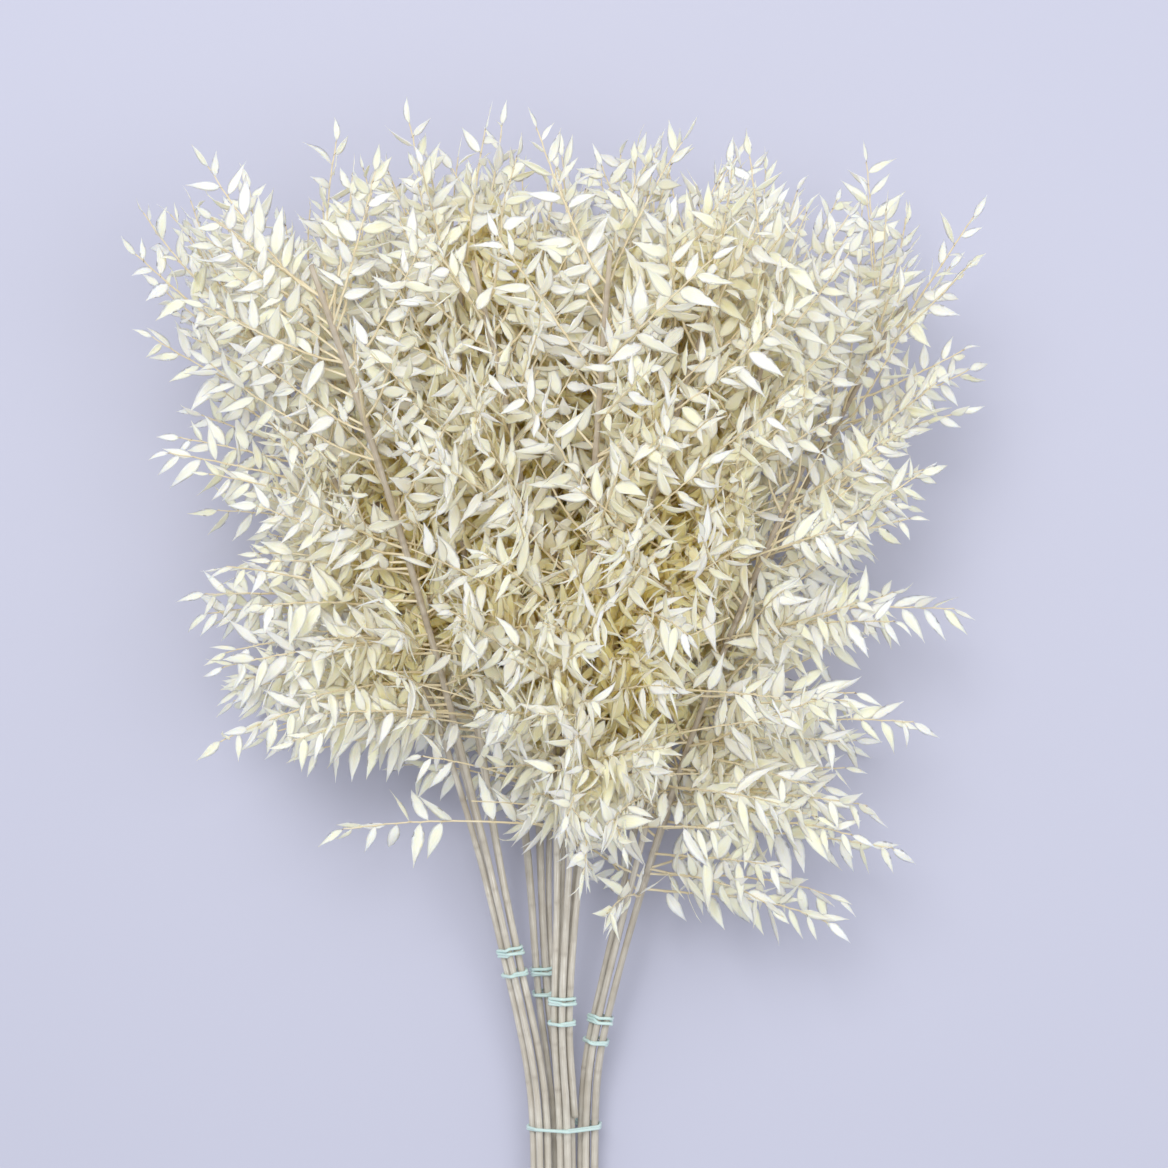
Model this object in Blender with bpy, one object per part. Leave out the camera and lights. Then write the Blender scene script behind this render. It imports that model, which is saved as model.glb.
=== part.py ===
"""A bundle of dried, bleached ruscus lying on a table.

Twenty cut stems are held in four bunches of five. Each bunch has two elastic bands, each wound
twice, and one more band holds the four bunches together near the cut ends. Each stem carries leafy
side branches on its upper half.

Metres, +Z up. The bundle lies along Y, with the cut ends at the low end and the leafy head at the
high end. The origin is the centre of the bottom of the bundle's box, so the table is at z = 0.

Run it with blender --background --python part.py, or from Blender's text editor.
"""

import math
import random
from collections import namedtuple

import bpy
from mathutils import Vector
from mathutils.bvhtree import BVHTree

# ---------------------------------------------------------------- driving dimensions, in metres
STEM_RADIUS = 0.0027
STEM_TIP_RADIUS = 0.0016
STEM_TAPER = 1.6  # above 1, most of the taper is near the tip
STEM_GAP = 0.0008  # between the stems of a bunch
STEMS_IN_BUNCH = 5
STEM_RINGS = 13  # cross-sections along a stem
CUT_END_SPREAD = 0.010  # how far apart the cut ends lie along the bundle
MAIN_BAND_Y = 0.075
NECK_HEIGHT = 0.0178  # of the bundle's axis above the table, at the main band
WAIST_RISE = 0.016  # how much higher the axis is at a bunch's own bands
HEAD_HEIGHT = 0.128  # of the head's axis above the table
HEAD_TOP_Y = 0.748
TIP_Y = 0.662  # where a stem ends that goes straight up the middle
TIP_FALL = (0.5, 0.9)  # how fast stems end lower across and up from the middle, per metre
TIP_SCATTER = (-0.020, 0.012)  # of a stem's end along the bundle
SPREAD_SCATTER = (0.85, 1.15)  # of a stem's end from its place in the bunch, as a factor
AIM_Y = 0.58  # the stems of a bunch leave its bands towards this place along the bundle
AIM_SHARE = 0.75  # how much of that lean they have at the bands
HEAD_HALF_WIDTH = 0.284
HEAD_THICKNESS = 0.272

LEANING_STEM_RADIUS = 1.06 * STEM_RADIUS  # half a stem's width where it slants through a band
BAND_RADIUS = 0.00075
BAND_GAP = 0.0003  # between a band and the stems it holds
BAND_PITCH = 0.0016  # half the distance between a band's two turns
BAND_CROSSING = 0.0024  # how far the second turn lifts where it crosses the first
BAND_SPACING = 0.0155  # between a bunch's upper and lower bands
BAND_STEP = 30  # degrees between a band's points where it bends round a stem
BAND_SEARCH_STEPS = 120  # tried along a band, to find which stem it touches where

BRANCHES = 11  # on each stem
BRANCH_LENGTH = (0.175, 0.110)  # of the lowest and the highest
BRANCH_ANGLE = (72.0, 30.0)  # from the stem, in degrees, at the lowest and the highest
ROOT_SCATTER = 0.025  # of a branch along the leafy stretch, as a share of it
BRANCH_RISE = (-38, 62)  # degrees out of the stem's sideways direction, towards its leafy face
BRANCH_SCATTER = (0.82, 1.08)  # of its length, as a factor
BRANCH_SHORTER = 0.35  # how much shorter the last one tried is, as a share
BRANCH_BEND = (-0.16, 0.14)  # along the bundle, of the lowest and the highest, per length
BEND_SCATTER = (-0.10, 0.08)  # of that bend
BRANCH_DROOP = (-0.10, 0.04)  # bend up or down, per length
LYING_HEIGHT = 0.04  # a branch whose tip is this low turns its flat side to the table
BRANCH_TRIES = 60
BRANCH_CLEARANCE = 0.0004  # between a branch and everything that isn't its own
LEAF_REACH = 0.0165  # from a branch's middle line to the tips of its leaves
LEAF_SWEEP = 0.10  # how far the leaf tips lean forwards, as a share of the branch's length
BRANCH_THICKNESS = 0.0022
TIP_REST = 0.0014  # height of a tip that rests on the table

SPINE_HALF_WIDTH = 0.0045
SPINE_THICKNESS = 0.0010
SPINE_GAP = 0.0006  # between the row of close leaves and its stem
SPINE_RINGS = 8

SEED = 11

# neck is where the bunch's axis passes the main band, waist where it passes the bunch's own bands,
# and tips is the middle of its stem tips. Each is (across, up) from the bundle's axis. spread is how
# far the tips lie from their middle. waist_y is measured along the bundle from the cut ends. bare is
# the share of a stem's length below its lowest side branch.
Bunch = namedtuple("Bunch", "name neck waist waist_y tips spread first_slot bare")
BUNCHES = (
    Bunch("a", (-0.0165, 0.0035), (-0.0355, 0.0070), 0.190, (-0.140, 0.010), (0.076, 0.066), 100, 0.54),
    Bunch("b", (-0.0040, -0.0090), (-0.0155, -0.0105), 0.174, (-0.040, -0.062), (0.085, 0.034), 66, 0.52),
    Bunch("c", (0.0015, 0.0080), (-0.0030, 0.0150), 0.158, (0.028, 0.054), (0.080, 0.040), 18, 0.43),
    Bunch("d", (0.0155, -0.0010), (0.0215, 0.0005), 0.143, (0.160, 0.004), (0.072, 0.066), 40, 0.44),
)
SHORT_STEM = ("c", 0)  # this one is cut off just above the main band
SHORT_STEM_CUT = 0.4  # how far above it, as a share of the first stretch of the stem's line
TOPPED_STEM = ("d", 0)  # the tip of this one is cut off
TOPPED_STEM_REACH = 0.74  # how much of its line above its bands is left

# The outline of a leafy side branch: (place along it, half width, lean of the leaf tips). The first
# and the last are shares of its length.
BRANCH_OUTLINE = (
    (0.00, 0.0009, 0.0),
    (0.15, 0.0018, 0.0),
    (0.33, LEAF_REACH, LEAF_SWEEP),
    (0.50, 0.0060, -0.02),
    (0.68, 0.88 * LEAF_REACH, LEAF_SWEEP),
)

Route = namedtuple("Route", "points radii")
Spray = namedtuple("Spray", "name bunch index route rings branches")


# ---------------------------------------------------------------- scene and materials
def clear_scene():
    for obj in list(bpy.data.objects):
        bpy.data.objects.remove(obj, do_unlink=True)


def material(name, colour, roughness):
    made = bpy.data.materials.new(name)
    made.use_nodes = True
    shader = made.node_tree.nodes["Principled BSDF"]
    shader.inputs["Base Color"].default_value = (*colour, 1.0)
    shader.inputs["Roughness"].default_value = roughness
    shader.inputs["Metallic"].default_value = 0.0
    return made


def new_collection(name):
    made = bpy.data.collections.new(name)
    bpy.context.scene.collection.children.link(made)
    return made


def mesh_object(name, points, faces, collection, skin):
    mesh = bpy.data.meshes.new(name)
    mesh.from_pydata([tuple(p) for p in points], [], faces)
    mesh.materials.append(skin)
    obj = bpy.data.objects.new(name, mesh)
    collection.objects.link(obj)
    return obj


def tube_object(name, points, radii, closed, collection, skin):
    """A round tube along points, whose thickness may change from point to point."""
    curve = bpy.data.curves.new(name, "CURVE")
    curve.dimensions = "3D"
    curve.bevel_depth = max(radii)
    curve.bevel_resolution = 1
    curve.use_fill_caps = not closed
    spline = curve.splines.new("POLY")
    spline.points.add(len(points) - 1)
    for place, point, radius in zip(spline.points, points, radii):
        place.co = (*point, 1.0)
        place.radius = radius / max(radii)
    spline.use_cyclic_u = closed
    spline.use_smooth = True
    curve.materials.append(skin)
    obj = bpy.data.objects.new(name, curve)
    collection.objects.link(obj)
    return obj


# ---------------------------------------------------------------- curves
def hermite(start, start_slope, end, end_slope, t):
    """A point on the smooth curve between start and end. The slopes are full tangent vectors."""
    t2, t3 = t * t, t * t * t
    return (
        start * (2 * t3 - 3 * t2 + 1)
        + start_slope * (t3 - 2 * t2 + t)
        + end * (3 * t2 - 2 * t3)
        + end_slope * (t3 - t2)
    )


def lerp(low, high, t):
    return low + (high - low) * t


def place_along(points, share):
    """The point, and the direction there, at a share of a line's length."""
    lengths = [(b - a).length for a, b in zip(points, points[1:])]
    left = share * sum(lengths)
    for a, b, length in zip(points, points[1:], lengths):
        if left <= length:
            return a.lerp(b, left / length), (b - a).normalized()
        left -= length
    return points[-1].copy(), (points[-1] - points[-2]).normalized()


# ---------------------------------------------------------------- stems
def slot_direction(bunch, index, turn=0.0):
    """The way a stem faces, outwards from the middle of its bunch, turned by some degrees."""
    angle = math.radians(bunch.first_slot + index * 360 / STEMS_IN_BUNCH + turn)
    return Vector((math.cos(angle), 0, math.sin(angle)))


def stem_route(bunch, index, rng):
    """The stem's middle line. Below the bunch's bands its stems run side by side, in a ring of five."""
    ring = (STEM_RADIUS + STEM_GAP / 2) / math.sin(math.pi / STEMS_IN_BUNCH)
    outward = slot_direction(bunch, index)
    slot = outward * ring
    neck = slot + Vector((bunch.neck[0], MAIN_BAND_Y, NECK_HEIGHT + bunch.neck[1]))
    waist_height = NECK_HEIGHT + WAIST_RISE + bunch.waist[1]
    waist = slot + Vector((bunch.waist[0], bunch.waist_y, waist_height))
    cut = neck.copy()
    cut.y = rng.uniform(0, CUT_END_SPREAD)

    tip_x = bunch.tips[0] + outward.x * bunch.spread[0] * rng.uniform(*SPREAD_SCATTER)
    tip_z = bunch.tips[1] + outward.z * bunch.spread[1] * rng.uniform(*SPREAD_SCATTER)
    tip_y = TIP_Y - TIP_FALL[0] * tip_x**2 - TIP_FALL[1] * tip_z**2 + rng.uniform(*TIP_SCATTER)
    tip = Vector((tip_x, tip_y, HEAD_HEIGHT + tip_z))

    # Every stem of the bunch leaves the bands in the same direction, so none meets its neighbour.
    middle = Vector((bunch.tips[0], AIM_Y, HEAD_HEIGHT + bunch.tips[1]))
    lean = (middle - waist).normalized()
    lean = Vector((AIM_SHARE * lean.x, lean.y, AIM_SHARE * lean.z)).normalized()
    low_span = (waist - neck).length
    high_span = (tip - waist).length
    straight_end = (tip - waist).normalized()
    end_slope = (straight_end * 2 - lean).normalized() * high_span

    low_rings = 4
    high_rings = STEM_RINGS - low_rings - 1
    reach = TOPPED_STEM_REACH if (bunch.name, index) == TOPPED_STEM else 1.0
    points = [cut]
    points += [
        hermite(neck, Vector((0, low_span, 0)), waist, lean * low_span, k / low_rings)
        for k in range(low_rings)
    ]
    points += [
        hermite(waist, lean * high_span, tip, end_slope, reach * k / (high_rings - 1))
        for k in range(high_rings)
    ]
    if (bunch.name, index) == SHORT_STEM:
        points[:2] = [points[1].lerp(points[2], SHORT_STEM_CUT)]
    shares = [k / (len(points) - 1) for k in range(len(points))]
    return Route(points, [lerp(STEM_RADIUS, STEM_TIP_RADIUS, share**STEM_TAPER) for share in shares])


# ---------------------------------------------------------------- elastic bands
def crossing_at_y(route, y):
    """Where a stem crosses this place along the bundle, or None where it doesn't reach."""
    for a, b in zip(route.points, route.points[1:]):
        if a.y <= y <= b.y:
            return a.lerp(b, (y - a.y) / (b.y - a.y))
    return None


def band_steps(routes, y, crossing):
    """Small steps along a taut band wound twice round these stems: (stem held, angle, point)."""
    for k in range(BAND_SEARCH_STEPS):
        turn = k / BAND_SEARCH_STEPS
        place = y + BAND_PITCH * math.cos(2 * math.pi * turn)
        stems = [p for p in (crossing_at_y(route, place) for route in routes) if p]
        angle = 720 * turn + crossing - 180
        outward = Vector((math.cos(math.radians(angle)), 0, math.sin(math.radians(angle))))
        held = max(range(len(stems)), key=lambda i: stems[i].dot(outward))
        lift = 0.0
        if abs(turn - 0.75) < 0.125:
            lift = BAND_CROSSING * math.cos(4 * math.pi * (turn - 0.75)) ** 2
        reach = LEANING_STEM_RADIUS + BAND_GAP + BAND_RADIUS + lift
        yield held, angle, stems[held] + outward * reach


def band_route(routes, y, crossing):
    """The band's closed line. It crosses over itself once, on the side that crossing names."""
    steps = list(band_steps(routes, y, crossing))
    points = []
    kept_angle = -999
    for before, step, after in zip(steps[-1:] + steps, steps, steps[1:] + steps[:1]):
        at_an_end = step[0] != before[0] or step[0] != after[0]
        if at_an_end or step[1] - kept_angle >= BAND_STEP:
            points.append(step[2])
            kept_angle = step[1]
    return points


# ---------------------------------------------------------------- leafy side branches
def perpendicular(vector, direction):
    return (vector - direction * vector.dot(direction)).normalized()


def facing_at(route, outward, share):
    """At a share of the stem: its point, its direction, and the way its row of leaves faces."""
    point, along = place_along(route.points, share)
    return point, along, perpendicular(outward, along)


def spine_rings(route, outward, bare):
    """The row of short leaves close along the stem: its middle line, with its direction and face."""
    rings = []
    for k in range(SPINE_RINGS):
        share = lerp(bare - 0.02, 0.985, k / (SPINE_RINGS - 1))
        point, along, face = facing_at(route, outward, share)
        rings.append((point + face * (STEM_RADIUS + SPINE_GAP + SPINE_THICKNESS / 2), along, face))
    return rings


def spine_shape(rings):
    """The row of close leaves as one slim blade, which the side branches grow from."""
    points, faces = [], []
    for k, (middle, along, face) in enumerate(rings):
        side = along.cross(face) * (SPINE_HALF_WIDTH * (0.5 if k in (0, SPINE_RINGS - 1) else 1.0))
        half = face * SPINE_THICKNESS / 2
        points += [middle - side - half, middle + side - half, middle + side + half, middle - side + half]
    for k in range(SPINE_RINGS - 1):
        low, high = 4 * k, 4 * k + 4
        for i in range(4):
            j = (i + 1) % 4
            faces += [(low + j, low + i, high + i), (low + j, high + i, high + j)]
    last = 4 * (SPINE_RINGS - 1)
    faces += [(0, 1, 2, 3), (last + 3, last + 2, last + 1, last)]
    return points, faces


def spine_place(rings, place):
    """The row's middle point, direction and face at a place between 0 and 1 along it."""
    place *= SPINE_RINGS - 1
    k = min(int(place), SPINE_RINGS - 2)
    low, high = rings[k], rings[k + 1]
    return [a.lerp(b, place - k) for a, b in zip(low, high)]


def branch_shape(root, heading, bend, facing, length, margin=0.0):
    """A flat, leafy side branch: leaf tips on both sides, with a ridge where its twig is."""
    side = (heading + bend / 2).cross(facing).normalized()
    points, faces = [], []
    for share, half_width, lean in BRANCH_OUTLINE:
        middle = root + (heading + bend * share) * (share * length)
        along = (heading + bend * (2 * share)).normalized()
        top = side.cross(along)
        edge = middle + along * (lean * length) - top * margin
        wide = side * (half_width + margin)
        thickness = BRANCH_THICKNESS * (0.35 + 0.65 * min(half_width / 0.006, 1.0))
        points += [edge - wide, middle + top * (thickness + margin), edge + wide]
    for k in range(len(BRANCH_OUTLINE) - 1):
        low, high = 3 * k, 3 * k + 3
        for i in range(3):
            j = (i + 1) % 3
            faces += [(low + i, low + j, high + j), (low + i, high + j, high + i)]
    tip = len(points)
    last = tip - 3
    points.append(root + (heading + bend) * (length + margin))
    faces += [(last + i, last + (i + 1) % 3, tip) for i in range(3)]
    faces.append((2, 1, 0))
    return points, faces


def tree_of(points, faces):
    return BVHTree.FromPolygons([tuple(p) for p in points], [tuple(f) for f in faces])


def grow_spine(spray, taken, rng):
    """Turns the row of close leaves round its stem until it touches nothing."""
    for attempt in range(BRANCH_TRIES):
        turn = rng.uniform(-20, 20) * (1 + attempt / 10)
        outward = slot_direction(spray.bunch, spray.index, turn)
        rings = spine_rings(spray.route, outward, spray.bunch.bare)
        tree = tree_of(*spine_shape(rings))
        if not any(tree.overlap(other) for owner, other in taken):
            break
    spray.rings.extend(rings)
    taken.append((spray.name, tree))


def try_branch(spray, number, loose, rng):
    """One random side branch. loose, from 0 to 1, says how far it may stray from the usual shape."""
    rank = number / (BRANCHES - 1)
    place = min(max(rank + rng.uniform(-ROOT_SCATTER, ROOT_SCATTER), 0.03), 0.97)
    point, along, face = spine_place(spray.rings, place)
    across = along.cross(face) * (1 if number % 2 else -1)
    root = point + across * (0.6 * SPINE_HALF_WIDTH)

    rise = math.radians(rng.uniform(*BRANCH_RISE) + loose * rng.uniform(-20, 20))
    angle = math.radians(lerp(*BRANCH_ANGLE, rank) + rng.uniform(-10, 10) * (1 + loose))
    outward = across * math.cos(rise) + face * math.sin(rise)
    heading = along * math.cos(angle) + outward * math.sin(angle)
    facing = face * math.cos(rise) - across * math.sin(rise)
    length = lerp(*BRANCH_LENGTH, rank) * rng.uniform(*BRANCH_SCATTER) * (1 - BRANCH_SHORTER * loose)
    bend = Vector((0, lerp(*BRANCH_BEND, rank) + rng.uniform(*BEND_SCATTER), rng.uniform(*BRANCH_DROOP)))

    # A branch that would pass through the table lies down on it instead, flat.
    tip_height = root.z + (heading.z + bend.z) * length
    if tip_height < TIP_REST:
        slope = (TIP_REST - root.z) / length - bend.z
        ahead = Vector((heading.x, heading.y, 0)).normalized() * math.sqrt(1 - slope * slope)
        heading = ahead + Vector((0, 0, slope))
    if facing.z < 0:
        facing = -facing
    above = min(max((tip_height - TIP_REST) / LYING_HEIGHT, 0.0), 1.0)
    facing = Vector((0, 0, 1)).lerp(facing, above).normalized()
    return root, heading, bend, facing, length


def grow_branch(spray, number, taken, rng):
    """Tries random side branches until one touches nothing. Returns its points and faces, or None."""
    for attempt in range(BRANCH_TRIES):
        branch = try_branch(spray, number, attempt / BRANCH_TRIES, rng)
        points, faces = branch_shape(*branch, BRANCH_CLEARANCE)
        inside = all(
            abs(p.x) < HEAD_HALF_WIDTH and p.y < HEAD_TOP_Y and 0 < p.z < HEAD_THICKNESS
            for p in points
        )
        if not inside:
            continue
        tree = tree_of(points, faces)
        if any(tree.overlap(other) for owner, other in taken if owner != spray.name):
            continue
        taken.append((None, tree))
        return branch_shape(*branch)
    return None


def joined(shapes):
    """Several shapes as the points and faces of one mesh."""
    points, faces = [], []
    for more_points, more_faces in shapes:
        faces += [tuple(len(points) + i for i in face) for face in more_faces]
        points += more_points
    return points, faces


# ---------------------------------------------------------------- the bundle
def tree_of_object(obj):
    graph = bpy.context.evaluated_depsgraph_get()
    evaluated = obj.evaluated_get(graph)
    mesh = evaluated.to_mesh()
    tree = tree_of([v.co.copy() for v in mesh.vertices], [tuple(p.vertices) for p in mesh.polygons])
    evaluated.to_mesh_clear()
    return tree


def main():
    clear_scene()
    rng = random.Random(SEED)
    bundle = new_collection("ruscus_bundle")
    helpers = new_collection("leafy_branches_to_join")
    wood = material("stem_wood", (0.80, 0.75, 0.62), 0.55)
    leaf = material("bleached_leaf", (0.93, 0.90, 0.76), 0.5)
    elastic = material("mint_elastic", (0.55, 0.78, 0.74), 0.45)

    taken = []  # (owner, tree) of every solid placed so far
    sprays = []
    for bunch in BUNCHES:
        for index in range(STEMS_IN_BUNCH):
            name = f"{bunch.name}{index + 1}"
            route = stem_route(bunch, index, rng)
            stem = tube_object(f"stem_{name}", route.points, route.radii, False, bundle, wood)
            bpy.context.view_layer.update()
            taken.append((None, tree_of_object(stem)))
            sprays.append(Spray(name, bunch, index, route, [], []))

    for bunch in BUNCHES:
        routes = [spray.route for spray in sprays if spray.bunch is bunch]
        for level, sign in (("upper", 1), ("lower", -1)):
            crossing = 85 - 15 * sign
            points = band_route(routes, bunch.waist_y + sign * BAND_SPACING / 2, crossing)
            name = f"band_{bunch.name}_{level}"
            tube_object(name, points, [BAND_RADIUS] * len(points), True, bundle, elastic)
    points = band_route([spray.route for spray in sprays], MAIN_BAND_Y, 95)
    tube_object("main_band", points, [BAND_RADIUS] * len(points), True, bundle, elastic)

    for spray in sprays:
        grow_spine(spray, taken, rng)
    for number in reversed(range(BRANCHES)):
        for spray in sprays:
            shape = grow_branch(spray, number, taken, rng)
            if shape:
                spray.branches.append(shape)

    for spray in sprays:
        foliage = mesh_object(f"foliage_{spray.name}", *spine_shape(spray.rings), bundle, leaf)
        branches = mesh_object(f"branches_{spray.name}", *joined(spray.branches), helpers, leaf)
        branches.hide_render = True
        branches.display_type = "WIRE"
        join = foliage.modifiers.new("join_branches", "BOOLEAN")
        join.operation = "UNION"
        join.object = branches
    print("side branches on each stem:", [len(spray.branches) for spray in sprays])
    stand_on_table(bundle, helpers)


def points_of(objects):
    """Every point of these objects' final meshes, in the world."""
    graph = bpy.context.evaluated_depsgraph_get()
    for obj in objects:
        evaluated = obj.evaluated_get(graph)
        mesh = evaluated.to_mesh()
        yield from (obj.matrix_world @ vertex.co for vertex in mesh.vertices)
        evaluated.to_mesh_clear()


def stand_on_table(bundle, helpers):
    """Moves the whole bundle so that the origin is the centre of the bottom of its box."""
    bpy.context.view_layer.update()
    points = list(points_of(bundle.objects))
    low = Vector([min(p[i] for p in points) for i in range(3)])
    high = Vector([max(p[i] for p in points) for i in range(3)])
    holder = bpy.data.objects.new("bundle_origin", None)
    holder.location = (-(low.x + high.x) / 2, -(low.y + high.y) / 2, -low.z)
    for obj in [*bundle.objects, *helpers.objects]:
        obj.parent = holder
    bundle.objects.link(holder)
    bpy.context.view_layer.update()


main()
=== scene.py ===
# %% [markdown]
# # A bundle of dried, bleached ruscus
#
# Florists sell this foliage bleached to ivory. Twenty cut canes stand in four small bunches, each
# bunch held by two mint-green elastic bands, and one more band holds the bunches together. The upper
# half of every cane carries thin side twigs, and every twig carries a row of small pointed leaves.
#
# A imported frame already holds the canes, the bands and a plain solid for each cane's foliage. This
# script reads its shapes back from that frame and grows the real thing in the same places.

# %% Load the frame
import math

import bpy
import numpy as np
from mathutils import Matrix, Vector, kdtree


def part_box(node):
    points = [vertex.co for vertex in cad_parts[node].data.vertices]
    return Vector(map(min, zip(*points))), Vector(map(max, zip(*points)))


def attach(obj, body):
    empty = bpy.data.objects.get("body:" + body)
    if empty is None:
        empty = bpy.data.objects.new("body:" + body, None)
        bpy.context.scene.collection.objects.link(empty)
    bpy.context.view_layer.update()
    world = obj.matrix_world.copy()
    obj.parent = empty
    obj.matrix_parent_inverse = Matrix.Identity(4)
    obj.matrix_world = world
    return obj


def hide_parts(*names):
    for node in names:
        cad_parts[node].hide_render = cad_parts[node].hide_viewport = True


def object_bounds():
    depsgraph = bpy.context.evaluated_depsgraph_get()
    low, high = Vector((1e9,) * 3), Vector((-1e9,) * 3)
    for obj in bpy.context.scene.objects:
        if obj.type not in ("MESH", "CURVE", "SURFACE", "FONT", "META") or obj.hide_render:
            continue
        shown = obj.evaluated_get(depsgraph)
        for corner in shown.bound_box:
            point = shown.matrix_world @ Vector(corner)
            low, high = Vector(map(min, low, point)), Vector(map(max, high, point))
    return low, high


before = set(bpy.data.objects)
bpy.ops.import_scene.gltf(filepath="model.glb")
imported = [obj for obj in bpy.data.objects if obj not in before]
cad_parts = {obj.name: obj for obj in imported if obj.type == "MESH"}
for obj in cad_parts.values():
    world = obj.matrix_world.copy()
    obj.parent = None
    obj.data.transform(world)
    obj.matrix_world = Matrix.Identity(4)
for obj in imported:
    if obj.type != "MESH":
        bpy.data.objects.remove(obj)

cad_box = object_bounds()
cane_nodes = sorted(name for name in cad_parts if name.startswith("stem_"))
foliage_nodes = sorted(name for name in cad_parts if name.startswith("foliage_"))
band_nodes = sorted(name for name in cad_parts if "band" in name)
print(len(cane_nodes), "canes,", len(foliage_nodes), "foliage solids,", len(band_nodes), "bands")

# %% [markdown]
# ## Vector helpers
#
# Thousands of leaves are too many for a loop, so most of this script works on whole arrays of points
# at once. These helpers treat the last axis of an array as x, y, z.

# %% Vector helpers
X_AXIS, Y_AXIS, Z_AXIS = np.eye(3)


def unit(vectors):
    """The same directions with length 1."""
    return vectors / np.maximum(np.linalg.norm(vectors, axis=-1, keepdims=True), 1e-9)


def square_to(vectors, directions):
    """The part of each vector that is square to its direction, with length 1."""
    along = np.sum(vectors * directions, axis=-1, keepdims=True)
    return unit(vectors - along * directions)


def length_of(line):
    return float(np.linalg.norm(np.diff(line, axis=0), axis=1).sum())


def places_along(line):
    """How far along the line each of its points is."""
    return np.concatenate([[0.0], np.cumsum(np.linalg.norm(np.diff(line, axis=0), axis=1))])


def smooth_step(values, low, high):
    """0 below low, 1 above high, and a soft S between them."""
    t = np.clip((values - low) / (high - low), 0, 1)
    return t * t * (3 - 2 * t)


# %% [markdown]
# ## From arrays to a mesh
#
# Each piece is one closed mesh or many closed shells in one object. Numbers that the materials need,
# such as how far along its leaf a point lies, go with the mesh as named attributes, so they stay with
# the surface in every view.

# %% Make a piece
def make_piece(name, points, faces, skin, attributes):
    """A mesh object. attributes maps a name to one number, or one x, y, z, for each point."""
    mesh = bpy.data.meshes.new(name)
    mesh.from_pydata(np.asarray(points).tolist(), [], faces)
    for key, values in attributes.items():
        values = np.asarray(values, dtype=np.float32)
        vector = values.ndim == 2
        layer = mesh.attributes.new(key, "FLOAT_VECTOR" if vector else "FLOAT", "POINT")
        layer.data.foreach_set("vector" if vector else "value", values.ravel())
    mesh.materials.append(skin)
    mesh.shade_smooth()
    piece = bpy.data.objects.new(name, mesh)
    bpy.context.scene.collection.objects.link(piece)
    return piece


def joined(shells):
    """Several shells, each (points, faces, attributes), as one."""
    points, faces, start = [], [], 0
    for shell_points, shell_faces, _ in shells:
        points.append(shell_points)
        faces += [[start + corner for corner in face] for face in shell_faces]
        start += len(shell_points)
    keys = shells[0][2].keys()
    attributes = {key: np.concatenate([shell[2][key] for shell in shells]) for key in keys}
    return np.concatenate(points), faces, attributes


# %% [markdown]
# ## Round tubes
#
# Canes, twigs and elastic bands are all round things of changing thickness. A tube is a row of rings,
# each square to the line. The rings mustn't spin from one to the next, so each ring's first direction
# is the last ring's, turned as little as it can be.
#
# The attribute `grain` runs round and along the tube. A noise texture that reads it makes fibres that
# follow every bend and have no seam.

# %% Make a tube
def ring_directions(tangents):
    """Two directions square to each tangent, carried along without spin."""
    start = Z_AXIS if abs(tangents[0] @ Z_AXIS) < 0.9 else X_AXIS
    first = [square_to(start, tangents[0])]
    for tangent in tangents[1:]:
        first.append(square_to(first[-1], tangent))
    first = np.array(first)
    return first, np.cross(tangents, first)


def ring_around(angles, first, second):
    """For every ring and every angle, the direction outwards from the ring's middle."""
    return np.cos(angles)[None, :, None] * first[:, None] + np.sin(angles)[None, :, None] * second[:, None]


def tube_faces(rings, sides, closed):
    """Four-sided faces between the rings. An open tube has caps, and a closed one is a loop."""
    faces = []
    for k in range(rings if closed else rings - 1):
        low, high = k * sides, ((k + 1) % rings) * sides
        for i in range(sides):
            j = (i + 1) % sides
            faces.append([low + i, low + j, high + j, high + i])
    if not closed:
        last = (rings - 1) * sides
        faces.append(list(range(sides))[::-1])
        faces.append(list(range(last, last + sides)))
    return faces


def grain_of(angles, radii, along):
    """The grain of a tube's points: round it in x and y, and along it in z."""
    parts = radii * np.cos(angles), radii * np.sin(angles), along[:, None]
    return np.stack(np.broadcast_arrays(*parts), axis=-1).reshape(-1, 3)


def tube(line, radii, sides, ribs=0.0, tangents=None):
    """An open tube along a line: its points, its faces and its grain. ribs makes five faint ribs."""
    if tangents is None:
        tangents = unit(np.gradient(line, axis=0))
    first, second = ring_directions(tangents)
    angles = np.arange(sides) * 2 * math.pi / sides
    ribbed = 1 + ribs * np.cos(5 * angles)
    around = ring_around(angles, first, second)
    points = line[:, None] + around * (radii[:, None, None] * ribbed[None, :, None])
    grain = grain_of(angles, radii[:, None], places_along(line))
    return points.reshape(-1, 3), tube_faces(len(line), sides, False), grain


# %% [markdown]
# ## Node groups that several materials share
#
# Everything here is dried plant, so two effects come back again and again: a cloudy change of tone and
# long fibres. Each is a shader node group, built once. A group puts out only a mask, and each material
# decides which colours it mixes. Small clouds also serve as the dry grain of a surface.

# %% Node helpers
def new_group(name, inputs, outputs):
    """An empty group with these sockets: name -> (socket kind, default)."""
    group = bpy.data.node_groups.new(name, "ShaderNodeTree")
    for key, (kind, default) in inputs.items():
        socket = group.interface.new_socket(key, in_out="INPUT", socket_type=f"NodeSocket{kind}")
        if default is not None:
            socket.default_value = default
    for key, kind in outputs.items():
        group.interface.new_socket(key, in_out="OUTPUT", socket_type=f"NodeSocket{kind}")
    return group, group.nodes.new("NodeGroupInput"), group.nodes.new("NodeGroupOutput")


def add(tree, kind, values=(), **settings):
    """A node with its settings, and with values or links put into its inputs."""
    node = tree.nodes.new(f"ShaderNode{kind}")
    for key, value in settings.items():
        setattr(node, key, value)
    for key, value in dict(values).items():
        if isinstance(value, bpy.types.NodeSocket):
            tree.links.new(value, node.inputs[key])
        else:
            node.inputs[key].default_value = value
    return node


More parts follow.
